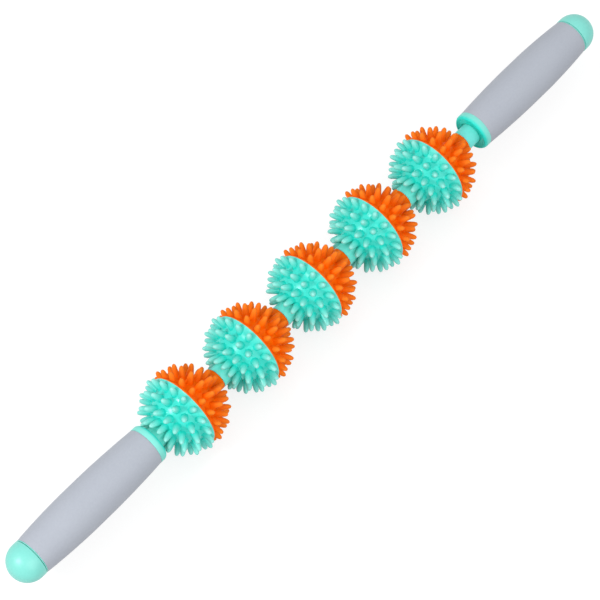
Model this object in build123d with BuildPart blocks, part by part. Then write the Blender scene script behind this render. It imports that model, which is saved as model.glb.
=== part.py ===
from build123d import *
from math import atan, cos, degrees, pi, sin
import os

os.makedirs("parts", exist_ok=True)

# All lengths are in millimetres. X runs along the stick, Z is up, and the origin is the middle of the stick.

# The row of balls
ball_count = 5
ball_pitch = 50
end_play = 0.05
spacer_length = 8.2

# One spiky ball
tip_radius = 25
core_radius = 17.6
core_sides = 16
band_latitude_shares = (0, 0.185, 0.37, 0.555, 0.73)
ring_counts = (16, 16, 10, 6)
spike_base = 3.7
spike_tip = 2.5
spike_root = 1.6
rim_radius = 21.8
rim_sides = 24
rim_thickness = 0.7
boss_radius = 6.2

# The rod, with a stud at each end
rod_radius = 4
stud_radius = 3
running_gap = 0.08
seat_gap = 0.05

# The inner collars
collar_length = 4.4
collar_radius = 11.55
collar_lip_radius = 10.6
collar_edge = 1.1
recess_radius = 9
recess_depth = 0.4

# The grips and the core tubes under them
handle_sides = 32
grip_length = 83.5
grip_collar_radius = 11.4
grip_radius = 12.9
grip_cap_radius = 11.1
grip_rise = 38
grip_middle = 10
grip_bend_shares = (0.5, 0.75)
core_tube_radius = 9
counterbore_radius = 7.5
counterbore_depth = 12

# The end caps
groove_width = 0.4
groove_radius = 10.6
cap_radius = 11.2
cap_length = 14.7
cap_side = 2
plug_length = 3
dome_steps = 5
dome_turn_share = 0.86

# The clamp nuts
nut_radius = 6.3
nut_sides = 6
nut_height = 6
stud_proud = 1.5

# Places along the stick, worked out from the sizes above
floor_reach = (ball_count * ball_pitch + spacer_length) / 2
rim_reach = floor_reach - recess_depth
back_reach = rim_reach + collar_length
grip_reach = back_reach + grip_length
tip_reach = grip_reach + cap_length
shelf_reach = grip_reach - counterbore_depth
stud_reach = shelf_reach + nut_height + stud_proud
first_ball = ball_pitch / 2 - floor_reach
half_length = ball_pitch / 2 - end_play


def save(piece, name):
    """Label one finished piece and write its file."""
    piece.part.label = name
    export_step(piece.part, f"parts/{name}.step")


def many_sided(outline, sides, reach):
    """Build a solid with flat sides round the stick's axis from one outline of (along, radius) points."""
    closed_outline = outline + [(along, -radius) for along, radius in reversed(outline)]
    with BuildPart() as body:
        for turn in range(sides // 2):
            angle = 2 * pi * (turn + 1 / 2) / sides
            side_plane = Plane(origin=(0, 0, 0), x_dir=(1, 0, 0), z_dir=(0, cos(angle), sin(angle)))
            with BuildSketch(side_plane):
                with BuildLine():
                    Polyline(*closed_outline, close=True)
                make_face()
            extrude(amount=reach, both=True, mode=Mode.INTERSECT if turn else Mode.ADD)
    return body.part


def bend(start, end):
    """Give the points of a grip's slope from its end up to its middle, fuller than a straight line."""
    points = [start]
    along_share, rise_share = grip_bend_shares
    points.append((
        start[0] + (end[0] - start[0]) * along_share,
        start[1] + (end[1] - start[1]) * rise_share,
    ))
    points.append(end)
    return points


# One spike, standing out along Z from the ball's centre and sunk into the core
spike_height = tip_radius - core_radius + spike_root
spike_taper = degrees(atan((spike_base - spike_tip) / 2 / spike_height))
with BuildPart() as spike:
    with BuildSketch(Plane.XY.offset(core_radius - spike_root)):
        Rectangle(spike_base, spike_base)
    extrude(amount=spike_height, taper=spike_taper)

# The places of a half shell's spikes, ring by ring from the seam to the boss
spike_places = []
for ring, count in enumerate(ring_counts):
    latitude = pi / 2 * (band_latitude_shares[ring] + band_latitude_shares[ring + 1]) / 2
    stagger = (ring + 1) % 2 / 2
    for k in range(count):
        azimuth = 2 * pi * (k + stagger) / count
        outward = Vector(sin(latitude), cos(latitude) * cos(azimuth), cos(latitude) * sin(azimuth))
        along = Vector(cos(latitude), -sin(latitude) * cos(azimuth), -sin(latitude) * sin(azimuth))
        spike_places.append(Plane(origin=(0, 0, 0), x_dir=along, z_dir=outward).location)

# One half shell, its seam on the YZ plane and its boss towards +X
flat_radius = core_radius * cos(pi / core_sides)
dome_outline = []
for share in band_latitude_shares:
    dome_outline.append((core_radius * sin(pi / 2 * share), flat_radius * cos(pi / 2 * share)))
dome = many_sided(dome_outline, core_sides, core_radius)
with BuildPart() as half_shell:
    add(dome)
    with BuildSketch(Plane.YZ):
        RegularPolygon(rim_radius, rim_sides)
    extrude(amount=rim_thickness)
    with BuildSketch(Plane.YZ):
        RegularPolygon(boss_radius, core_sides)
    extrude(amount=half_length)
    with Locations(*spike_places):
        add(spike.part)
    with BuildSketch(Plane.YZ):
        Circle(rod_radius + running_gap)
    extrude(amount=half_length, mode=Mode.SUBTRACT)

# The five balls, each an orange half towards +X and a teal half turned towards -X
for number in range(ball_count):
    centre = first_ball + number * ball_pitch
    with BuildPart() as orange_half:
        with Locations(Location((centre, 0, 0))):
            add(half_shell.part)
    save(orange_half, f"ball_{number + 1}_orange_half")
    with BuildPart() as teal_half:
        with Locations(Location((centre, 0, 0), (0, 0, degrees(pi)))):
            add(half_shell.part)
    save(teal_half, f"ball_{number + 1}_teal_half")

# The rod, with a shoulder at each end that a handle is clamped against
with BuildPart() as axle_rod:
    with BuildSketch(Plane.YZ):
        Circle(rod_radius)
    extrude(amount=back_reach, both=True)
    with BuildSketch(Plane.YZ):
        Circle(stud_radius)
    extrude(amount=stud_reach, both=True)
save(axle_rod, "axle_rod")

# The spacer that fills the row up to the right collar
with BuildPart() as end_spacer:
    with BuildSketch(Plane.YZ.offset(floor_reach)):
        RegularPolygon(boss_radius, core_sides)
        Circle(rod_radius + seat_gap, mode=Mode.SUBTRACT)
    extrude(amount=-spacer_length)
save(end_spacer, "end_spacer")

# Both handles, each built on its own side of the middle
for side, sign in (("left", -1), ("right", 1)):
    collar_body = many_sided([
        (sign * rim_reach, collar_lip_radius),
        (sign * (rim_reach + collar_edge), collar_radius),
        (sign * back_reach, collar_radius),
    ], handle_sides, collar_radius)
    with BuildPart() as inner_collar:
        add(collar_body)
        with BuildSketch(Plane.YZ.offset(sign * floor_reach)):
            RegularPolygon(recess_radius, handle_sides, major_radius=False)
        extrude(amount=-sign * recess_depth, mode=Mode.SUBTRACT)
        with BuildSketch(Plane.YZ.offset(sign * back_reach)):
            Circle(rod_radius + seat_gap)
        extrude(amount=-sign * collar_length, mode=Mode.SUBTRACT)
    save(inner_collar, f"{side}_inner_collar")

    with BuildPart() as handle_core:
        with BuildSketch(Plane.YZ.offset(sign * back_reach)):
            RegularPolygon(core_tube_radius, handle_sides, major_radius=False)
            Circle(stud_radius + seat_gap, mode=Mode.SUBTRACT)
        extrude(amount=sign * grip_length)
        with BuildSketch(Plane.YZ.offset(sign * grip_reach)):
            RegularPolygon(counterbore_radius, handle_sides, major_radius=False)
        extrude(amount=-sign * counterbore_depth, mode=Mode.SUBTRACT)
    save(handle_core, f"{side}_handle_core")

    middle_start = (sign * (back_reach + grip_rise), grip_radius)
    middle_end = (sign * (back_reach + grip_rise + grip_middle), grip_radius)
    collar_slope = bend((sign * back_reach, grip_collar_radius), middle_start)
    cap_slope = bend((sign * grip_reach, grip_cap_radius), middle_end)
    grip_body = many_sided(collar_slope + cap_slope[::-1], handle_sides, grip_radius)
    with BuildPart() as grip:
        add(grip_body)
        with BuildSketch(Plane.YZ.offset(sign * back_reach)):
            RegularPolygon(core_tube_radius + seat_gap, handle_sides, major_radius=False)
        extrude(amount=sign * grip_length, mode=Mode.SUBTRACT)
    save(grip, f"{side}_grip")

    cap_outline = [
        (sign * (grip_reach - plug_length), counterbore_radius - seat_gap),
        (sign * grip_reach, counterbore_radius - seat_gap),
        (sign * grip_reach, groove_radius),
        (sign * (grip_reach + groove_width), groove_radius),
        (sign * (grip_reach + groove_width), cap_radius),
    ]
    dome_start = grip_reach + groove_width + cap_side
    for step in range(dome_steps + 1):
        turn = pi / 2 * dome_turn_share * step / dome_steps
        along = dome_start + (tip_reach - dome_start) * sin(turn) / sin(pi / 2 * dome_turn_share)
        cap_outline.append((sign * along, cap_radius * cos(turn)))
    cap_body = many_sided(cap_outline, handle_sides, cap_radius)
    with BuildPart() as end_cap:
        add(cap_body)
    save(end_cap, f"{side}_end_cap")

    with BuildPart() as clamp_nut:
        with BuildSketch(Plane.YZ.offset(sign * shelf_reach)):
            RegularPolygon(nut_radius, nut_sides)
            Circle(stud_radius + seat_gap, mode=Mode.SUBTRACT)
        extrude(amount=sign * nut_height)
    save(clamp_nut, f"{side}_clamp_nut")
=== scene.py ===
"""Looks for the massage roller stick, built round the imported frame.

Sizes are in millimetres, apart from the meshes, the textures and the studio, which are in metres.
"""

import logging
import math
from collections.abc import Callable, Iterable, Sequence
from dataclasses import dataclass
from enum import Enum

import bmesh
import bpy
from mathutils import Matrix, Vector


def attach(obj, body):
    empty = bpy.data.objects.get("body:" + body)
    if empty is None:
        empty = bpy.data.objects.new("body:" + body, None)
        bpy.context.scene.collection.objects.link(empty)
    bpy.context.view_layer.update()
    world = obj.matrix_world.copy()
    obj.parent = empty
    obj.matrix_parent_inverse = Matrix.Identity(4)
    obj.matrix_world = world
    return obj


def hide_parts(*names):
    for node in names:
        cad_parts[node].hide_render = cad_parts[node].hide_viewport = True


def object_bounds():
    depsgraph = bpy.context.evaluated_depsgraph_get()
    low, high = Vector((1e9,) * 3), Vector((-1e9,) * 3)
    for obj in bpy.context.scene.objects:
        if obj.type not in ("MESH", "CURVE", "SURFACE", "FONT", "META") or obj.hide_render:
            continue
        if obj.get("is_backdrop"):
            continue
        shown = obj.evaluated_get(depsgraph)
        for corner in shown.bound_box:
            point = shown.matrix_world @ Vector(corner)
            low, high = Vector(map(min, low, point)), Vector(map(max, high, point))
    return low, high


LOG = logging.getLogger("roller_stick")

MM = 0.001
# Mesh attribute of painted light: a paler tint as painted highlight on spike tips, rim shoulders and
# collar sides, and none at spike roots as painted shade.
PAINTED_LIGHT_ATTRIBUTE = "painted_light"
# Mesh attribute of painted light on the bosses, lighter where the balls shade each other.
PAINTED_BOSS_LIGHT_ATTRIBUTE = "painted_boss_light"
AXIS_X = Vector((1.0, 0.0, 0.0))
ORIGIN = Vector((0.0, 0.0, 0.0))
MERGE_DISTANCE = 1e-6
BUMP_DISTANCE = 0.0001

FIRST_BALL_CENTRE = -104.1
BALL_PITCH = 50.0
BALL_ROLLS = (0, 3, 1, 5, 2)
COLLAR_FLOOR = 129.1
ROD_BORE_RADIUS = 4.05

WHITE = (1.0, 1.0, 1.0, 1.0)
ScreenColour = tuple[int, int, int]

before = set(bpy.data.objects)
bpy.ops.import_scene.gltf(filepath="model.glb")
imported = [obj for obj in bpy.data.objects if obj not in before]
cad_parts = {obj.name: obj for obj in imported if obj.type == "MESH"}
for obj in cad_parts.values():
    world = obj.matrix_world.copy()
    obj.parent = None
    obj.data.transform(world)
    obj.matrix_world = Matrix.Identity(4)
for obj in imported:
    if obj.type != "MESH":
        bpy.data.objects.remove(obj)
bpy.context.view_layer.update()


class Side(Enum):
    """The two ends of the stick."""

    LEFT = -1
    RIGHT = 1

    @property
    def word(self) -> str:
        """Give the side's name as the nodes write it.

        Returns:
            The name in small letters.
        """
        return self.name.lower()


class Colour(Enum):
    """The two halves of a ball, by the way that each half's boss points."""

    TEAL = -1
    ORANGE = 1

    @property
    def word(self) -> str:
        """Give the half's colour as the nodes write it.

        Returns:
            The colour in small letters.
        """
        return self.name.lower()


@dataclass(frozen=True)
class Corner:
    """One corner of a turned outline.

    Args:
        along: The place along the axis.
        radius: The distance from the axis.
        soft: How far back the corner is rounded along its edges.
        steps: The number of facets in the rounding.
    """

    along: float
    radius: float
    soft: float = 0.0
    steps: int = 3


def arc(radius: float, first: float, last: float, steps: int) -> list[Corner]:
    """Give corners on a circle round the origin.

    Args:
        radius: The circle's radius.
        first: The latitude of the first corner, in degrees.
        last: The latitude of the last corner, in degrees.
        steps: The number of chords.

    Returns:
        The corners, from the first latitude to the last.
    """
    corners = []
    for step in range(steps + 1):
        latitude = math.radians(first + (last - first) * step / steps)
        corners.append(Corner(radius * math.sin(latitude), radius * math.cos(latitude)))
    return corners


def turn_outline(outline: Sequence[Corner], segments: int, closed: bool) -> bmesh.types.BMesh:
    """Turn an outline about the X axis into a closed shell.

    Args:
        outline: The corners in order.
        segments: The number of facets round the axis.
        closed: True where the outline is a loop clear of the axis, False where it ends on the axis.

    Returns:
        The shell, with its faces outwards.
    """
    shell = bmesh.new()
    points = [shell.verts.new((corner.along * MM, 0.0, corner.radius * MM)) for corner in outline]
    for first, second in zip(points, points[1:]):
        shell.edges.new((first, second))
    if closed:
        shell.edges.new((points[-1], points[0]))
    for point, corner in zip(points, outline):
        if corner.soft:
            bmesh.ops.bevel(
                shell, geom=[point], offset=corner.soft * MM, offset_type="OFFSET",
                segments=corner.steps, profile=0.5, affect="VERTICES", material=-1,
            )
    bmesh.ops.spin(
        shell, geom=shell.verts[:] + shell.edges[:], cent=ORIGIN, axis=AXIS_X, angle=math.tau,
        steps=segments, use_merge=True, use_duplicate=False,
    )
    bmesh.ops.remove_doubles(shell, verts=shell.verts[:], dist=MERGE_DISTANCE)
    bmesh.ops.recalc_face_normals(shell, faces=shell.faces[:])
    return shell


def write_share(
    shell: bmesh.types.BMesh, attribute: str, share: Callable[[float, float], float],
) -> None:
    """Write on each vertex the share of a tint that it takes.

    Args:
        shell: The mesh that gets the attribute.
        attribute: The attribute's name.
        share: Gives the share for a place along the axis and a distance from it. It is cut to
            the range from 0 to 1.
    """
    layer = shell.verts.layers.float.new(attribute)
    for vert in shell.verts:
        along = vert.co.x / MM
        radius = math.hypot(vert.co.y, vert.co.z) / MM
        vert[layer] = min(max(share(along, radius), 0.0), 1.0)


def finish_piece(
    shell: bmesh.types.BMesh,
    name: str,
    material: bpy.types.Material,
    body: str,
    node: str,
    sharp_degrees: float = 38.0,
) -> None:
    """Make a piece of a shell, dress it and tie it to the frame.

    Args:
        shell: The piece's mesh in the frame's place. It is freed.
        name: The piece's name.
        material: The piece's finish.
        body: The CAD body that the piece moves with.
        node: The CAD node that the piece stands for.
        sharp_degrees: The angle past which an edge is drawn sharp.
    """
    mesh = bpy.data.meshes.new(name)
    shell.to_mesh(mesh)
    shell.free()
    mesh.materials.append(material)
    mesh.shade_smooth()
    mesh.set_sharp_from_angle(angle=math.radians(sharp_degrees))
    piece = bpy.data.objects.new(name, mesh)
    bpy.context.scene.collection.objects.link(piece)
    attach(piece, body)
    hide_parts(node)
    LOG.info("%s: %d faces, rides on %s", name, len(mesh.polygons), body)


def dress(node: str, material: bpy.types.Material) -> None:
    """Give a CAD node a better material.

    Args:
        node: The node's name.
        material: The material for its slots.
    """
    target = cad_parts[node]
    for slot in target.material_slots:
        slot.material = material
    LOG.info("%s: dressed in %s", node, material.name)


class NodeSheet:
    """Short ways to lay out one node tree."""

    def __init__(self, tree: bpy.types.NodeTree) -> None:
        """Start on a tree.

        Args:
            tree: The tree that takes the nodes.
        """
        self.tree = tree

    def node(self, kind: str, **values: object) -> bpy.types.Node:
        """Add a node and set its properties.

        Args:
            kind: The node's type name.
            **values: Properties of the node itself.

        Returns:
            The node.
        """
        made = self.tree.nodes.new(kind)
        for key, value in values.items():
            setattr(made, key, value)
        return made

    def feed(self, target: bpy.types.NodeSocket, value: object) -> None:
        """Join a socket to an input, or set the input's own value.

        Args:
            target: The input.
            value: A socket to join, or else the value to set.
        """
        if isinstance(value, bpy.types.NodeSocket):
            self.tree.links.new(value, target)
        else:
            target.default_value = value

    def noise(
        self, place: bpy.types.NodeSocket, scale: object, detail: float, roughness: float = 0.5,
    ) -> bpy.types.NodeSocket:
        """Add a noise texture.

        Args:
            place: The coordinates that it reads.
            scale: Its scale in waves per metre, as a number or a socket.
            detail: The number of finer layers.
            roughness: The strength of the finer layers.

        Returns:
            The noise value, about 0.5 on average.
        """
        texture = self.node("ShaderNodeTexNoise")
        self.feed(texture.inputs["Vector"], place)
        self.feed(texture.inputs["Scale"], scale)
        self.feed(texture.inputs["Detail"], detail)
        self.feed(texture.inputs["Roughness"], roughness)
        return texture.outputs["Fac"]

    def patches(self, place: bpy.types.NodeSocket, scale: float) -> bpy.types.NodeSocket:
        """Add the slow noise that the roughness follows.

        Args:
            place: The coordinates that it reads.
            scale: Its scale in waves per metre.

        Returns:
            The noise value.
        """
        return self.noise(place, scale, detail=2.0, roughness=0.55)

    def bump(self, height: bpy.types.NodeSocket, strength: object) -> bpy.types.NodeSocket:
        """Turn a height into a normal.

        Args:
            height: The height.
            strength: The strength, as a number or a socket.

        Returns:
            The normal.
        """
        made = self.node("ShaderNodeBump")
        self.feed(made.inputs["Distance"], BUMP_DISTANCE)
        self.feed(made.inputs["Strength"], strength)
        self.feed(made.inputs["Height"], height)
        return made.outputs["Normal"]

    def spread(
        self, value: bpy.types.NodeSocket, low: object, high: object,
        source: tuple[float, float] = (0.0, 1.0),
    ) -> bpy.types.NodeSocket:
        """Stretch a value from one range to another, cut at its ends.

        Args:
            value: The value.
            low: The lower end of the new range, as a number or a socket.
            high: The upper end of the new range, as a number or a socket.
            source: The range that the value is read over.

        Returns:
            The stretched value.
        """
        made = self.node("ShaderNodeMapRange")
        self.feed(made.inputs["Value"], value)
        self.feed(made.inputs["From Min"], source[0])
        self.feed(made.inputs["From Max"], source[1])
        self.feed(made.inputs["To Min"], low)
        self.feed(made.inputs["To Max"], high)
        return made.outputs["Result"]

    def mix(
        self, factor: bpy.types.NodeSocket, first: bpy.types.NodeSocket, second: object,
    ) -> bpy.types.NodeSocket:
        """Mix two colours.

        Args:
            factor: The share of the second colour.
            first: The first colour.
            second: The second colour, as a value or a socket.

        Returns:
            The mixed colour.
        """
        made = self.node("ShaderNodeMix", data_type="RGBA")
        self.feed(made.inputs["Factor"], factor)
        self.feed(made.inputs["A"], first)
        self.feed(made.inputs["B"], second)
        return made.outputs["Result"]

    def combine(
        self, operation: str, first: bpy.types.NodeSocket, second: object,
    ) -> bpy.types.NodeSocket:
        """Work out a number from two others.

        Args:
            operation: The Math node's operation.
            first: The first number.
            second: The second number, as a value or a socket.

        Returns:
            The result.
        """
        made = self.node("ShaderNodeMath", operation=operation)
        self.feed(made.inputs[0], first)
        self.feed(made.inputs[1], second)
        return made.outputs["Value"]


class Effect(Enum):
    """The effects that several finishes share, each one a node group."""

    MOULD_GRAIN = "mould_grain"
    COLOUR_DRIFT = "colour_drift"


class EffectBook:
    """Builds each shared effect once and places it in materials."""

    grain_detail: float = 3.0
    patch_scale: float = 90.0
    patch_range: tuple[float, float] = (0.35, 0.65)
    cloud_detail: float = 2.0
    speck_detail: float = 1.0
    drift_range: tuple[float, float] = (0.75, 1.25)

    def __init__(self) -> None:
        """Build both groups."""
        self.groups = {
            Effect.MOULD_GRAIN: self._mould_grain(),
            Effect.COLOUR_DRIFT: self._colour_drift(),
        }

    @staticmethod
    def _open(effect: Effect, inputs: dict[str, str], outputs: dict[str, str]) -> NodeSheet:
        """Start an effect's group with named sockets.

        Args:
            effect: The effect.
            inputs: The socket type of each input, by its name.
            outputs: The socket type of each output, by its name.

        Returns:
            The sheet of the group's tree.
        """
        tree = bpy.data.node_groups.new(effect.value, "ShaderNodeTree")
        for label, kind in inputs.items():
            tree.interface.new_socket(name=label, in_out="INPUT", socket_type=kind)
        for label, kind in outputs.items():
            tree.interface.new_socket(name=label, in_out="OUTPUT", socket_type=kind)
        return NodeSheet(tree)

    def _mould_grain(self) -> bpy.types.NodeTree:
        """Build the fine texture that a moulding tool leaves, as a normal and a roughness.

        Returns:
            The group.
        """
        labels = ("Grain Scale", "Depth", "Roughness Low", "Roughness High")
        sheet = self._open(
            Effect.MOULD_GRAIN,
            {label: "NodeSocketFloat" for label in labels},
            {"Normal": "NodeSocketVector", "Roughness": "NodeSocketFloat"},
        )
        given = sheet.node("NodeGroupInput").outputs
        result = sheet.node("NodeGroupOutput").inputs
        place = sheet.node("ShaderNodeTexCoord").outputs["Object"]
        grain = sheet.noise(place, given["Grain Scale"], self.grain_detail)
        sheet.feed(result["Normal"], sheet.bump(grain, given["Depth"]))
        patches = sheet.patches(place, self.patch_scale)
        sheet.feed(result["Roughness"], sheet.spread(
            patches, given["Roughness Low"], given["Roughness High"], self.patch_range,
        ))
        return sheet.tree

    def _colour_drift(self) -> bpy.types.NodeTree:
        """Build slow clouds and fine specks between two colours.

        Returns:
            The group.
        """
        inputs = {"Colour": "NodeSocketColor", "Drift Colour": "NodeSocketColor"}
        for label in ("Cloud Scale", "Speck Scale", "Amount"):
            inputs[label] = "NodeSocketFloat"
        sheet = self._open(Effect.COLOUR_DRIFT, inputs, {"Colour": "NodeSocketColor"})
        given = sheet.node("NodeGroupInput").outputs
        result = sheet.node("NodeGroupOutput").inputs
        place = sheet.node("ShaderNodeTexCoord").outputs["Object"]
        clouds = sheet.noise(place, given["Cloud Scale"], self.cloud_detail)
        specks = sheet.noise(place, given["Speck Scale"], self.speck_detail)
        joined = sheet.combine("ADD", clouds, specks)
        share = sheet.spread(joined, 0.0, given["Amount"], self.drift_range)
        sheet.feed(result["Colour"], sheet.mix(share, given["Colour"], given["Drift Colour"]))
        return sheet.tree

    def place(self, sheet: NodeSheet, effect: Effect, values: dict[str, object]) -> bpy.types.Node:
        """Put an effect into a material.

        Args:
            sheet: The material's sheet.
            effect: The effect to place.
            values: The values of the group's inputs.

        Returns:
            The group node.
        """
        made = sheet.node("ShaderNodeGroup")
        made.node_tree = self.groups[effect]
        for label, value in values.items():
            sheet.feed(made.inputs[label], value)
        return made


def from_srgb(red: int, green: int, blue: int) -> tuple[float, float, float, float]:
    """Turn a screen colour into a linear one.

    Args:
        red: The red part, 0 to 255.
        green: The green part.
        blue: The blue part.

    Returns:
        The linear colour with full alpha.
    """
    parts = []
    for part in (red, green, blue):
        share = part / 255.0
        parts.append(share / 12.92 if share <= 0.04045 else ((share + 0.055) / 1.055) ** 2.4)
    return (parts[0], parts[1], parts[2], 1.0)


def start_material(
    name: str, colour: ScreenColour,
) -> tuple[bpy.types.Material, NodeSheet, bpy.types.bpy_prop_collection]:
    """Start a material on its Principled shader.

    Args:
        name: The material's name.
        colour: The colour that it has in a plain view.

    Returns:
        The material, its sheet and the shader's inputs.
    """
    made = bpy.data.materials.new(name)
    made.use_nodes = True
    made.diffuse_color = from_srgb(*colour)
    return made, NodeSheet(made.node_tree), made.node_tree.nodes["Principled BSDF"].inputs


@dataclass(frozen=True)
class Tint:
    """A colour that a finish takes where a mesh attribute asks for it.

    Args:
        attribute: The attribute's name.
        colour: The colour.
        amount: The share of the colour where the attribute is 1.
    """

    attribute: str
    colour: ScreenColour
    amount: float

    def over(self, sheet: NodeSheet, colour: bpy.types.NodeSocket) -> bpy.types.NodeSocket:
        """Blend a colour towards the tint by the mesh attribute.

        Args:
            sheet: The material's sheet.
            colour: The colour so far.

        Returns:
            The blended colour.
        """
        asked = sheet.node("ShaderNodeAttribute", attribute_name=self.attribute)
        share = sheet.spread(asked.outputs["Fac"], 0.0, self.amount)
        return sheet.mix(share, colour, from_srgb(*self.colour))


@dataclass(frozen=True)
class Plastic:
    """A moulded plastic or soft-touch finish.

    Args:
        name: The material's name.
        colour: The main colour.
        drift: The colour that it drifts towards.
        tints: The colours that mesh attributes ask for.
        drift_amount: The largest share of the drift colour.
        cloud_scale: The slow clouds of the drift per metre.
        speck_scale: The fine specks of the drift per metre.
        grain_scale: The grain's waves per metre.
        grain_depth: The strength of the grain.
        roughness: The lowest and highest roughness.
        specular: The specular level.
        sheen: The sheen weight.
    """

    name: str
    colour: ScreenColour
    drift: ScreenColour
    tints: tuple[Tint, ...] = ()
    drift_amount: float = 0.5
    cloud_scale: float = 28.0
    speck_scale: float = 900.0
    grain_scale: float = 1400.0
    grain_depth: float = 0.15
    roughness: tuple[float, float] = (0.36, 0.46)
    specular: float = 0.5
    sheen: float = 0.0

    def material(self, effects: EffectBook) -> bpy.types.Material:
        """Build the material.

        Args:
            effects: The shared effects.

        Returns:
            The material.
        """
        made, sheet, shader = start_material(self.name, self.colour)
        shader["Specular IOR Level"].default_value = self.specular
        shader["Sheen Weight"].default_value = self.sheen
        drift = effects.place(sheet, Effect.COLOUR_DRIFT, {
            "Colour": from_srgb(*self.colour), "Drift Colour": from_srgb(*self.drift),
            "Cloud Scale": self.cloud_scale, "Speck Scale": self.speck_scale,
            "Amount": self.drift_amount,
        })
        colour = drift.outputs["Colour"]
        for tint in self.tints:
            colour = tint.over(sheet, colour)
        sheet.feed(shader["Base Color"], colour)
        grain = effects.place(sheet, Effect.MOULD_GRAIN, {
            "Grain Scale": self.grain_scale, "Depth": self.grain_depth,
            "Roughness Low": self.roughness[0], "Roughness High": self.roughness[1],
        })
        sheet.feed(shader["Normal"], grain.outputs["Normal"])
        sheet.feed(shader["Roughness"], grain.outputs["Roughness"])
        return made


@dataclass(frozen=True)
class TurnedSteel:
    """Plain turned steel, with fine rings round the stick's axis.

    Args:
        name: The material's name.
        colour: The colour of the metal.
        drift: The colour that it drifts towards.
        drift_amount: The largest share of the drift colour.
        cloud_scale: The slow clouds of the drift per metre.
        speck_scale: The fine specks of the drift per metre.
        ring_scale: The turning marks per metre.
        ring_waver: How much the turning marks waver.
        ring_depth: The strength of the marks.
        patch_scale: The patches of the roughness per metre.
        roughness: The lowest and highest roughness.
    """

    name: str = "turned_steel"
    colour: ScreenColour = (196, 198, 202)
    drift: ScreenColour = (150, 152, 156)
    drift_amount: float = 0.4
    cloud_scale: float = 60.0
    speck_scale: float = 1200.0
    ring_scale: float = 900.0
    ring_waver: float = 1.5
    ring_depth: float = 0.2
    patch_scale: float = 200.0
    roughness: tuple[float, float] = (0.26, 0.42)

    def material(self, effects: EffectBook) -> bpy.types.Material:
        """Build the material.

        Args:
            effects: The shared effects.

        Returns:
            The material.
        """
        made, sheet, shader = start_material(self.name, self.colour)
        shader["Metallic"].default_value = 1.0
        drift = effects.place(sheet, Effect.COLOUR_DRIFT, {
            "Colour": from_srgb(*self.colour), "Drift Colour": from_srgb(*self.drift),
            "Cloud Scale": self.cloud_scale, "Speck Scale": self.speck_scale,
            "Amount": self.drift_amount,
        })
        sheet.feed(shader["Base Color"], drift.outputs["Colour"])
        place = sheet.node("ShaderNodeTexCoord").outputs["Object"]
        rings = sheet.node("ShaderNodeTexWave", wave_type="BANDS", bands_direction="X")
        sheet.feed(rings.inputs["Vector"], place)
        sheet.feed(rings.inputs["Scale"], self.ring_scale)
        sheet.feed(rings.inputs["Distortion"], self.ring_waver)
        sheet.feed(shader["Normal"], sheet.bump(rings.outputs["Fac"], self.ring_depth))
        patches = sheet.patches(place, self.patch_scale)
        sheet.feed(shader["Roughness"], sheet.spread(patches, *self.roughness))
        return made


class Finishes:
    """Every finish of the stick, built once."""

    def __init__(self) -> None:
        """Build the shared effects and the materials."""
        effects = EffectBook()
        self.shell = {
            Colour.TEAL: Plastic(
                "teal_shell_plastic", (39, 217, 202), (28, 206, 191),
                tints=(
                    # Pale tint: painted highlight on the spike tips and up the rim's shoulder, and
                    # painted shade at the spike roots, where it falls below the dome's share.
                    Tint(PAINTED_LIGHT_ATTRIBUTE, (192, 231, 224), 0.47),
                    # Painted light: a lighter teal on the boss, where the neighbouring balls shade
                    # it.
                    Tint(PAINTED_BOSS_LIGHT_ATTRIBUTE, (118, 240, 226), 0.85),
                ),
                roughness=(0.22, 0.32), specular=0.34,
            ).material(effects),
            Colour.ORANGE: Plastic(
                "orange_shell_plastic", (246, 108, 0), (242, 94, 0),
                # Pale tint: painted highlight on the spike tips and up the rim's shoulder, and
                # painted shade at the spike roots.
                tints=(Tint(PAINTED_LIGHT_ATTRIBUTE, (234, 152, 60), 0.38),),
                roughness=(0.3, 0.4), specular=0.04,
            ).material(effects),
        }
        self.trim = Plastic(
            "mint_trim_plastic", (121, 213, 201), (108, 206, 193), grain_depth=0.1,
            roughness=(0.36, 0.44), specular=0.8,
        ).material(effects)
        self.collar = Plastic(
            "collar_plastic", (36, 222, 206), (26, 214, 197),
            # Pale tint: painted highlight on the collar's side behind the lip.
            tints=(Tint(PAINTED_LIGHT_ATTRIBUTE, (132, 220, 208), 1.0),),
            grain_depth=0.1, specular=0.2,
        ).material(effects)
        self.neck = Plastic(
            "teal_spacer_plastic", (112, 236, 226), (98, 228, 218), grain_depth=0.1,
        ).material(effects)
        self.grip = Plastic(
            "grey_soft_touch", (170, 175, 185), (163, 168, 179), drift_amount=0.6,
            grain_scale=2600.0, grain_depth=0.3, roughness=(0.58, 0.7), specular=0.35, sheen=0.2,
        ).material(effects)
        self.core = Plastic(
            "core_tube_plastic", (176, 180, 184), (164, 168, 172), roughness=(0.45, 0.55),
        ).material(effects)
        self.steel = TurnedSteel().material(effects)


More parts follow.
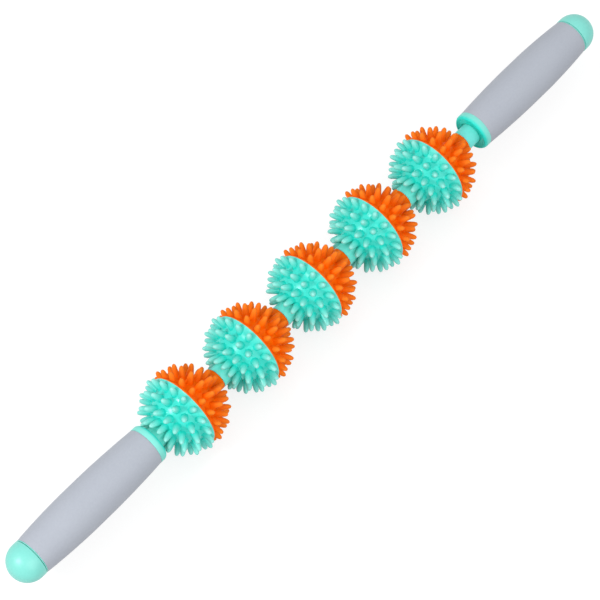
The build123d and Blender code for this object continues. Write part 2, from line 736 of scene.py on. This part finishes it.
@dataclass(frozen=True)
class SpikyBall:
    """One ball of two half shells that butt at a seam across the rod.

    Args:
        number: The ball's number from the left.
        centre: The ball's place along the rod.
        roll_steps: How many spikes of the first ring the ball is rolled by.
        core_radius: The radius of the dome that carries the spikes.
        core_latitudes: The first and last latitude of the dome's bare curve, in degrees.
        core_steps: The number of chords in that curve.
        root_lift: How far the rim's root stands above the dome.
        tip_radius: The reach of the spikes.
        bore_radius: The radius of the bore.
        boss_radius: The radius of the boss.
        boss_reach: The boss's reach along the rod.
        boss_foot: Where the boss meets the dome.
        rim_radius: The radius of the rim at the seam.
        rim_edge: Half the width of the rim's edge.
        rim_root: Where the rim's slope meets the dome.
        spike_root: The sunk end of a spike.
        spike_foot: The foot of a spike.
        spike_shoulder: The end of a spike's straight side.
        spike_nose: The start of a spike's tip.
        spike_radii: The spike's radius at its root, foot, shoulder and nose.
        spike_sides: The number of sides of a spike.
        ring_latitudes: The latitude of each ring of spikes, in degrees.
        ring_counts: The number of spikes in each ring.
        segments: The number of facets round the shell.
        core_paleness: The dome's even share of the pale tint, the level that the painted highlights
            rise from and that the spike roots fall below as painted shade.
        rim_painted_highlight: The painted highlight that the shoulder adds towards the rim's edge.
        tip_margin: How far below the tip a spike's painted highlight is at its palest.
        boss_margin: How far past the boss's radius its painted light reaches.
        boss_fade: The length over which the boss's painted light rises.
    """

    number: int
    centre: float
    roll_steps: int
    core_radius: float = 17.7
    core_latitudes: tuple[float, float] = (16.0, 67.0)
    core_steps: int = 12
    root_lift: float = 0.1
    tip_radius: float = 24.86
    bore_radius: float = 4.08
    boss_radius: float = 6.2
    boss_reach: float = 24.95
    boss_foot: float = 16.9
    rim_radius: float = 21.8
    rim_edge: float = 0.45
    rim_root: float = 3.4
    spike_root: float = 16.6
    spike_foot: float = 18.5
    spike_shoulder: float = 23.2
    spike_nose: float = 24.4
    spike_radii: tuple[float, ...] = (2.75, 2.08, 1.4, 0.88)
    spike_sides: int = 8
    ring_latitudes: tuple[float, ...] = (8.6, 27.0, 46.5, 66.0)
    ring_counts: tuple[int, ...] = (18, 17, 14, 11)
    segments: int = 96
    core_paleness: float = 0.09
    rim_painted_highlight: float = 0.35
    tip_margin: float = 0.5
    boss_margin: float = 0.1
    boss_fade: float = 1.5

    def shell_outline(self) -> list[Corner]:
        """Give the outline of a half shell without its spikes, its seam at 0 and its boss towards +X.

        Returns:
            The corners.
        """
        seam_side = [
            Corner(0.0, self.bore_radius),
            Corner(0.0, self.rim_radius, soft=0.1, steps=2),
            Corner(self.rim_edge, self.rim_radius, soft=0.3),
            Corner(self.rim_root, self.core_radius + self.root_lift, soft=1.6, steps=4),
        ]
        boss_side = [
            Corner(self.boss_foot, self.boss_radius, soft=0.8),
            Corner(self.boss_reach, self.boss_radius, soft=0.35),
            Corner(self.boss_reach, self.bore_radius, soft=0.2, steps=2),
        ]
        return seam_side + arc(self.core_radius, *self.core_latitudes, self.core_steps) + boss_side

    def spike_outline(self) -> list[Corner]:
        """Give the outline of one spike along X from the ball's centre, its root sunk in the dome.

        Returns:
            The corners.
        """
        reaches = (self.spike_root, self.spike_foot, self.spike_shoulder, self.spike_nose)
        side = [Corner(reach, radius) for reach, radius in zip(reaches, self.spike_radii)]
        return [Corner(self.spike_root, 0.0), *side, Corner(self.tip_radius, 0.0)]

    def spike_turns(self) -> list[Matrix]:
        """Give the turn of each spike of a half whose boss points to +X.

        Returns:
            The turns, from a spike along X.
        """
        turns = []
        for ring, (latitude, count) in enumerate(zip(self.ring_latitudes, self.ring_counts)):
            stagger = 0.5 if ring % 2 == 0 else 0.0
            tilt = Matrix.Rotation(math.radians(90.0 - latitude), 4, "Y")
            for place in range(count):
                azimuth = math.tau * (place + stagger) / count
                turns.append(Matrix.Rotation(azimuth, 4, "X") @ tilt)
        return turns

    def half(self, colour: Colour) -> bmesh.types.BMesh:
        """Build one half shell with its spikes.

        Args:
            colour: Which half to build.

        Returns:
            The half in its place on the stick.
        """
        half = turn_outline(self.shell_outline(), self.segments, closed=True)
        # Painted highlight rising up the shoulder to the rim.
        write_share(half, PAINTED_LIGHT_ATTRIBUTE, self._shell_painted_light)
        # Painted light on the boss, against the shade between the balls.
        write_share(half, PAINTED_BOSS_LIGHT_ATTRIBUTE, self._painted_boss_light_share)
        spike = turn_outline(self.spike_outline(), self.spike_sides, closed=False)
        # Painted shade at the spike's root, rising to a painted highlight at its tip.
        write_share(spike, PAINTED_LIGHT_ATTRIBUTE, self._spike_painted_light)
        spike_mesh = bpy.data.meshes.new("spike_pattern")
        spike.to_mesh(spike_mesh)
        spike.free()
        for turn in self.spike_turns():
            turned = spike_mesh.copy()
            turned.transform(turn)
            half.from_mesh(turned)
            bpy.data.meshes.remove(turned)
        bpy.data.meshes.remove(spike_mesh)
        if colour is Colour.TEAL:
            about = Matrix.Rotation(math.pi, 3, "Z")
            bmesh.ops.rotate(half, cent=ORIGIN, matrix=about, verts=half.verts[:])
        roll = Matrix.Rotation(math.tau * self.roll_steps / self.ring_counts[0], 3, "X")
        bmesh.ops.rotate(half, cent=ORIGIN, matrix=roll, verts=half.verts[:])
        bmesh.ops.translate(half, vec=(self.centre * MM, 0.0, 0.0), verts=half.verts[:])
        return half

    def _shell_painted_light(self, along: float, radius: float) -> float:
        """Give the pale tint's share on the shell: even on the dome, rising up the shoulder to the
        rim as a painted highlight.

        Args:
            along: The place along the axis, which the share doesn't follow.
            radius: The distance from the axis.

        Returns:
            The share of the pale tint.
        """
        climb = (radius - self.core_radius) / (self.rim_radius - self.core_radius)
        return self.core_paleness + self.rim_painted_highlight * max(climb, 0.0)

    def _painted_boss_light_share(self, along: float, radius: float) -> float:
        """Give the share of the painted light on the boss, a lighter tint that rises from the boss's
        foot against the shade between the balls.

        Args:
            along: The place along the axis.
            radius: The distance from the axis.

        Returns:
            The share.
        """
        if radius >= self.boss_radius + self.boss_margin:
            return 0.0
        return (along - self.boss_foot) / self.boss_fade

    def _spike_painted_light(self, along: float, radius: float) -> float:
        """Give the pale tint's share on a spike along X: none from the root to the foot as painted
        shade, rising to a painted highlight at the tip.

        Args:
            along: The place along the axis.
            radius: The distance from the axis, which the share doesn't follow.

        Returns:
            The share of the pale tint.
        """
        return (along - self.spike_foot) / (self.tip_radius - self.tip_margin - self.spike_foot)

    def build(self, finishes: Finishes) -> None:
        """Build and dress both halves.

        Args:
            finishes: The stick's finishes.
        """
        body = f"ball_{self.number}"
        for colour in Colour:
            node = f"{body}_{colour.word}_half"
            finish_piece(
                self.half(colour), f"{node}_shell", finishes.shell[colour], body, node,
                sharp_degrees=50.0,
            )


@dataclass(frozen=True)
class RodAndSpacer:
    """The steel rod and the spacer at the right end of the row.

    Args:
        floor_reach: Where the spacer ends on the collar's floor.
        length: The spacer's length.
        radius: The spacer's radius.
        bore_radius: The radius of its bore.
        segments: The number of facets round it.
    """

    floor_reach: float = COLLAR_FLOOR
    length: float = 8.2
    radius: float = 6.2
    bore_radius: float = ROD_BORE_RADIUS
    segments: int = 64

    def build(self, finishes: Finishes) -> None:
        """Build the spacer and dress the rod.

        Args:
            finishes: The stick's finishes.
        """
        left = self.floor_reach - self.length
        spacer = turn_outline([
            Corner(left, self.bore_radius, soft=0.2, steps=2),
            Corner(left, self.radius, soft=0.35),
            Corner(self.floor_reach, self.radius),
            Corner(self.floor_reach, self.bore_radius),
        ], self.segments, closed=True)
        finish_piece(spacer, "end_spacer_sleeve", finishes.neck, "stick", "end_spacer")
        dress("axle_rod", finishes.steel)


@dataclass(frozen=True)
class Collar:
    """The inner collar: a ring with a rounded face, a recess and a gap round the neck.

    Args:
        floor: The place of the recess's floor.
        length: The length from the floor to the back.
        radius: The outer radius.
        bore_radius: The radius of its bore.
        lip_depth: How far the lip stands above the floor.
        lip_radius: Where the lip's flat face ends.
        recess_radius: The radius of the recess's floor.
        recess_draft: How much wider the recess is at the lip.
        shoulder_depth: Where the rounded shoulder ends behind the lip.
        neck_radius: The radius of the neck that stands on the floor.
        neck_gap: The width and depth of the gap round the neck.
        fade_start: Where the painted highlight on the side starts behind the lip.
        fade_length: The length over which the painted highlight rises.
    """

    floor: float = COLLAR_FLOOR
    length: float = 4.0
    radius: float = 11.5
    bore_radius: float = ROD_BORE_RADIUS
    lip_depth: float = 0.4
    lip_radius: float = 10.5
    recess_radius: float = 9.5
    recess_draft: float = 0.1
    shoulder_depth: float = 1.2
    neck_radius: float = 6.1
    neck_gap: float = 0.6
    fade_start: float = 0.5
    fade_length: float = 1.7

    @property
    def back(self) -> float:
        """Work out where the collar ends at the grip.

        Returns:
            The place along the axis.
        """
        return self.floor + self.length

    @property
    def rim(self) -> float:
        """Work out where the lip's face is.

        Returns:
            The place along the axis.
        """
        return self.floor - self.lip_depth

    def outline(self) -> list[Corner]:
        """Give the outline of the right collar.

        Returns:
            The corners.
        """
        gap_floor = self.floor + self.neck_gap
        gap_radius = self.neck_radius + self.neck_gap
        return [
            Corner(self.floor, self.bore_radius),
            Corner(self.floor, self.neck_radius),
            Corner(gap_floor, self.neck_radius),
            Corner(gap_floor, gap_radius),
            Corner(self.floor, gap_radius, soft=0.25, steps=2),
            Corner(self.floor, self.recess_radius, soft=0.05, steps=2),
            Corner(self.rim, self.recess_radius + self.recess_draft, soft=0.05, steps=2),
            Corner(self.rim, self.lip_radius, soft=0.3),
            Corner(self.rim + self.shoulder_depth, self.radius, soft=0.7, steps=4),
            Corner(self.back, self.radius, soft=0.15, steps=2),
            Corner(self.back, self.bore_radius),
        ]

    def painted_light(self, along: float, radius: float) -> float:
        """Give the share of the painted highlight at a place on the collar, which rises from the lip
        to the side.

        Args:
            along: The place along the axis.
            radius: The distance from the axis, which the share doesn't follow.

        Returns:
            The share of the painted highlight.
        """
        return (abs(along) - self.rim - self.fade_start) / self.fade_length


@dataclass(frozen=True)
class Grip:
    """The barrel-shaped grip sleeve.

    Args:
        length: The length.
        middle_radius: The radius of the barrel's middle.
        collar_radius: The radius at the collar.
        cap_radius: The radius at the cap.
        core_radius: The radius of the core tube in it.
        rise: The length of the rise from the collar.
        middle: The length of the straight middle.
        curve_margin: How much of each half slope stays straight.
        curve_steps: The number of facets in each long curve.
    """

    length: float = 83.5
    middle_radius: float = 12.9
    collar_radius: float = 11.4
    cap_radius: float = 11.1
    core_radius: float = 9.1
    rise: float = 38.0
    middle: float = 10.0
    curve_margin: float = 1.0
    curve_steps: int = 12

    def outline(self, start: float) -> list[Corner]:
        """Give the outline of the right grip.

        Args:
            start: The place of its end at the collar.

        Returns:
            The corners.
        """
        end = start + self.length
        half_rise = self.rise / 2
        half_fall = (self.length - self.rise - self.middle) / 2
        rise_curve = half_rise - self.curve_margin
        fall_curve = half_fall - self.curve_margin
        return [
            Corner(start, self.core_radius),
            Corner(start, self.collar_radius, soft=0.3),
            Corner(start + half_rise, self.middle_radius, rise_curve, self.curve_steps),
            Corner(end - half_fall, self.middle_radius, fall_curve, self.curve_steps),
            Corner(end, self.cap_radius, soft=0.3),
            Corner(end, self.core_radius),
        ]


@dataclass(frozen=True)
class EndCap:
    """The domed end cap, with a plug in the grip, and a ring and a groove that show at its end.

    Args:
        length: The length past the grip.
        radius: The dome's radius.
        ring_radius: The radius of the ring at the grip.
        ring_width: The ring's width.
        groove_radius: The radius of the groove's floor.
        groove_width: The groove's width.
        plug_radius: The plug's radius.
        plug_depth: How far the plug reaches into the grip.
        dome_curve: How far back the dome's corner is rounded.
        dome_steps: The number of facets in the dome.
    """

    length: float = 14.7
    radius: float = 11.2
    ring_radius: float = 11.1
    ring_width: float = 0.5
    groove_radius: float = 9.8
    groove_width: float = 0.35
    plug_radius: float = 7.45
    plug_depth: float = 3.0
    dome_curve: float = 11.1
    dome_steps: int = 16

    def outline(self, start: float) -> list[Corner]:
        """Give the outline of the right cap.

        Args:
            start: The place of the grip's end.

        Returns:
            The corners.
        """
        plug_end = start - self.plug_depth
        ring_end = start + self.ring_width
        dome_start = ring_end + self.groove_width
        tip = start + self.length
        return [
            Corner(plug_end, 0.0),
            Corner(plug_end, self.plug_radius, soft=0.3, steps=2),
            Corner(start, self.plug_radius),
            Corner(start, self.ring_radius, soft=0.12, steps=2),
            Corner(ring_end, self.ring_radius, soft=0.15, steps=2),
            Corner(ring_end, self.groove_radius),
            Corner(dome_start, self.groove_radius),
            Corner(dome_start, self.radius, soft=0.2),
            Corner(tip, self.radius, self.dome_curve, self.dome_steps),
            Corner(tip, 0.0),
        ]


@dataclass(frozen=True)
class Handle:
    """One handle: collar, grip, core tube, end cap and nut.

    Args:
        side: The end of the stick that it is on.
        collar: The collar's sizes.
        grip: The grip's sizes.
        cap: The cap's sizes.
        segments: The number of facets round each piece.
    """

    side: Side
    collar: Collar = Collar()
    grip: Grip = Grip()
    cap: EndCap = EndCap()
    segments: int = 96

    def _turned(self, outline: Iterable[Corner], closed: bool = True) -> bmesh.types.BMesh:
        """Turn an outline that is given for the right side, on this handle's own side.

        Args:
            outline: The corners for the right side.
            closed: True where the outline is a loop clear of the axis.

        Returns:
            The shell.
        """
        placed = [
            Corner(self.side.value * corner.along, corner.radius, corner.soft, corner.steps)
            for corner in outline
        ]
        return turn_outline(placed, self.segments, closed)

    def build(self, finishes: Finishes) -> None:
        """Build and dress the handle.

        Args:
            finishes: The stick's finishes.
        """
        word = self.side.word
        collar = self._turned(self.collar.outline())
        # Painted highlight on the collar's side behind the lip.
        write_share(collar, PAINTED_LIGHT_ATTRIBUTE, self.collar.painted_light)
        grip = self._turned(self.grip.outline(self.collar.back))
        cap = self._turned(self.cap.outline(self.collar.back + self.grip.length), closed=False)
        for shell, piece, material, node, slot in (
            (collar, "collar_ring", finishes.collar, "inner_collar", "mint_trim"),
            (grip, "grip_sleeve", finishes.grip, "grip", "grip"),
            (cap, "cap_dome", finishes.trim, "end_cap", "mint_trim"),
        ):
            finish_piece(shell, f"{word}_{piece}", material, "stick", f"{word}_{node}")
        dress(f"{word}_handle_core", finishes.core)
        dress(f"{word}_clamp_nut", finishes.steel)


@dataclass(frozen=True)
class Softbox:
    """A square lamp that looks at the origin.

    Args:
        name: The lamp's name.
        right: Its place along the camera's right direction.
        up: Its place along the camera's up direction.
        back: Its place along the camera's backward direction.
        size: The length of its side.
        power: Its power in watts.
    """

    name: str
    right: float
    up: float
    back: float
    size: float
    power: float

    def hang(self, directions: tuple[Vector, Vector, Vector]) -> None:
        """Hang the lamp.

        Args:
            directions: The camera's right, up and backward directions.
        """
        right, up, back = directions
        place = back * self.back + right * self.right + up * self.up
        data = bpy.data.lights.new(self.name, "AREA")
        data.size = self.size
        data.energy = self.power
        lamp = bpy.data.objects.new(self.name, data)
        lamp.location = place
        lamp.rotation_euler = place.to_track_quat("Z", "Y").to_euler()
        bpy.context.scene.collection.objects.link(lamp)
        LOG.info("%s: %.1f W", self.name, self.power)


@dataclass(frozen=True)
class Studio:
    """The floor, the lamps, the world and the camera, in metres.

    Args:
        floor_size: The length of the floor's side.
        floor_colour: The grey of the floor under the lamps.
        floor_glow: The light that the camera sees the floor add.
        world_strength: The strength of the soft light from all round.
        lamps: The softboxes.
        azimuth: The camera's turn about the vertical, in degrees.
        elevation: The camera's height above the horizon, in degrees.
        distance: The camera's distance.
        lens: The focal length, in millimetres.
        sensor: The width of the camera's sensor, in millimetres.
        clip_end: How far the camera sees.
        look_along: Where along the rod the camera looks.
        look_right: How far to the right of that it looks.
        look_up: How far above that it looks.
    """

    floor_size: float = 8.0
    floor_colour: float = 0.34
    floor_glow: float = 0.72
    world_strength: float = 0.84
    lamps: tuple[Softbox, ...] = (
        Softbox("key_softbox", right=-0.95, up=-0.1, back=0.95, size=0.2, power=6.6),
        Softbox("fill_softbox", right=0.5, up=-0.35, back=1.2, size=1.2, power=6.7),
    )
    azimuth: float = -48.01
    elevation: float = 60.35
    distance: float = 1.39
    lens: float = 154.86
    sensor: float = 36.0
    clip_end: float = 50.0
    look_along: float = -0.0041
    look_right: float = -0.00617
    look_up: float = -0.00706

    def directions(self) -> tuple[Vector, Vector, Vector]:
        """Work out the camera's directions.

        Returns:
            The right, up and backward directions.
        """
        turn = math.radians(self.azimuth)
        rise = math.radians(self.elevation)
        level = math.cos(rise)
        right = Vector((math.cos(turn), math.sin(turn), 0.0))
        back = Vector((math.sin(turn) * level, -math.cos(turn) * level, math.sin(rise)))
        return right, back.cross(right), back

    def build(self, floor_height: float) -> None:
        """Build the whole studio.

        Args:
            floor_height: The height of the floor.
        """
        self._floor(floor_height)
        self._world()
        for lamp in self.lamps:
            lamp.hang(self.directions())
        self._camera()

    @staticmethod
    def _white_to_camera(sheet: NodeSheet, strength: float) -> bpy.types.NodeSocket:
        """Give a strength that only rays from the camera, mirrors and glass see.

        Args:
            sheet: The material's or world's sheet.
            strength: The strength that they see.

        Returns:
            The strength as a socket.
        """
        path = sheet.node("ShaderNodeLightPath").outputs
        seen = sheet.combine("MAXIMUM", path["Is Camera Ray"], path["Is Glossy Ray"])
        also = sheet.combine("MAXIMUM", seen, path["Is Transmission Ray"])
        return sheet.combine("MULTIPLY", also, strength)

    def _floor(self, height: float) -> None:
        """Lay the pale floor.

        Args:
            height: The height of the floor.
        """
        plane = bmesh.new()
        bmesh.ops.create_grid(plane, x_segments=1, y_segments=1, size=self.floor_size / 2)
        bmesh.ops.translate(plane, vec=(0.0, 0.0, height), verts=plane.verts[:])
        mesh = bpy.data.meshes.new("studio_floor")
        plane.to_mesh(mesh)
        plane.free()
        floor = bpy.data.objects.new("studio_floor", mesh)
        bpy.context.scene.collection.objects.link(floor)
        made = bpy.data.materials.new("pale_floor")
        made.use_nodes = True
        made.node_tree.nodes.clear()
        sheet = NodeSheet(made.node_tree)
        matte = sheet.node("ShaderNodeBsdfDiffuse")
        grey = self.floor_colour
        matte.inputs["Color"].default_value = (grey, grey, grey, 1.0)
        glow = sheet.node("ShaderNodeEmission")
        sheet.feed(glow.inputs["Strength"], self._white_to_camera(sheet, self.floor_glow))
        both = sheet.node("ShaderNodeAddShader")
        sheet.feed(both.inputs[0], matte.outputs["BSDF"])
        sheet.feed(both.inputs[1], glow.outputs["Emission"])
        output = sheet.node("ShaderNodeOutputMaterial")
        sheet.feed(output.inputs["Surface"], both.outputs["Shader"])
        mesh.materials.append(made)
        floor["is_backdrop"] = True

    def _world(self) -> None:
        """Light everything softly, and show white past the floor."""
        world = bpy.data.worlds.new("studio_world")
        bpy.context.scene.world = world
        world.use_nodes = True
        world.node_tree.nodes.clear()
        sheet = NodeSheet(world.node_tree)
        soft = sheet.node("ShaderNodeBackground")
        soft.inputs["Color"].default_value = WHITE
        soft.inputs["Strength"].default_value = self.world_strength
        white = sheet.node("ShaderNodeBackground")
        white.inputs["Color"].default_value = WHITE
        mix = sheet.node("ShaderNodeMixShader")
        sheet.feed(mix.inputs["Fac"], self._white_to_camera(sheet, 1.0))
        sheet.feed(mix.inputs[1], soft.outputs["Background"])
        sheet.feed(mix.inputs[2], white.outputs["Background"])
        output = sheet.node("ShaderNodeOutputWorld")
        sheet.feed(output.inputs["Surface"], mix.outputs["Shader"])

    def _camera(self) -> None:
        """Set the camera where the photograph was taken from."""
        right, up, back = self.directions()
        data = bpy.data.cameras.new("photo_camera")
        data.sensor_width = self.sensor
        data.lens = self.lens
        data.clip_end = self.clip_end
        camera = bpy.data.objects.new("photo_camera", data)
        look_at = AXIS_X * self.look_along + right * self.look_right + up * self.look_up
        turn = Matrix((right, up, back)).transposed()
        camera.matrix_world = Matrix.Translation(look_at + back * self.distance) @ turn.to_4x4()
        bpy.context.scene.collection.objects.link(camera)
        bpy.context.scene.camera = camera
        LOG.info("photo_camera: %.2f mm lens", self.lens)


def main() -> None:
    """Build the stick's looks and the studio."""
    logging.basicConfig(level=logging.INFO, format="%(name)s: %(message)s")
    view = bpy.context.scene.view_settings
    view.view_transform = "Standard"
    finishes = Finishes()
    for place, roll_steps in enumerate(BALL_ROLLS):
        SpikyBall(place + 1, FIRST_BALL_CENTRE + BALL_PITCH * place, roll_steps).build(finishes)
    RodAndSpacer().build(finishes)
    for side in Side:
        Handle(side).build(finishes)
    model_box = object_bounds()
    Studio().build(model_box[0][2])


if __name__ == "__main__":
    main()
